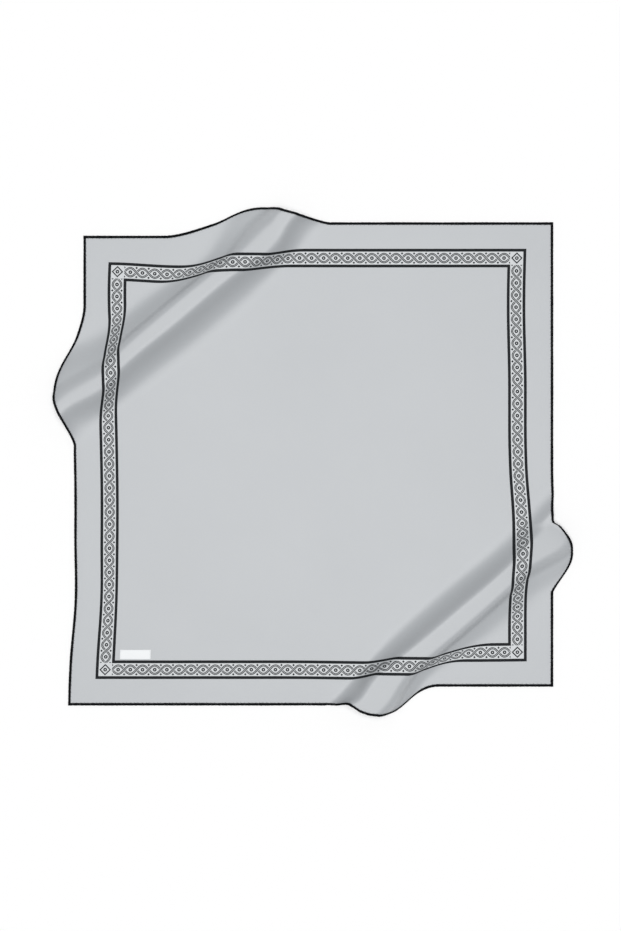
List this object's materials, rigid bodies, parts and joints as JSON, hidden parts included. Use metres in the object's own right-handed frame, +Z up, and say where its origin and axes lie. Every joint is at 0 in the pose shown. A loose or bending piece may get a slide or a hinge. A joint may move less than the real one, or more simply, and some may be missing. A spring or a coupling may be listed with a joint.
{
  "type": "silk scarf",
  "caption": "Square silk scarf with rolled hems and a small sewn-on label, lying flat with two soft folds across opposite corners.",
  "frame": {"origin": "centre of the flat square, on the surface that the scarf lies on", "axes": "+Z up, square to the surface it lies on; +X to the right along the top and bottom hems; +Y towards the top hem"},
  "size_m": [0.9648, 0.9423, 0.0364],
  "materials": {
    "silk": "light grey silk twill with a printed dark border",
    "hem": "black rolled and slip-stitched silk",
    "label": "bare pale woven satin"
  },
  "bodies": {
    "root": {"cloth": "silk", "hem_top": "hem", "hem_right": "hem", "hem_bottom": "hem", "hem_left": "hem", "label": "label"}
  },
  "joints": []
}
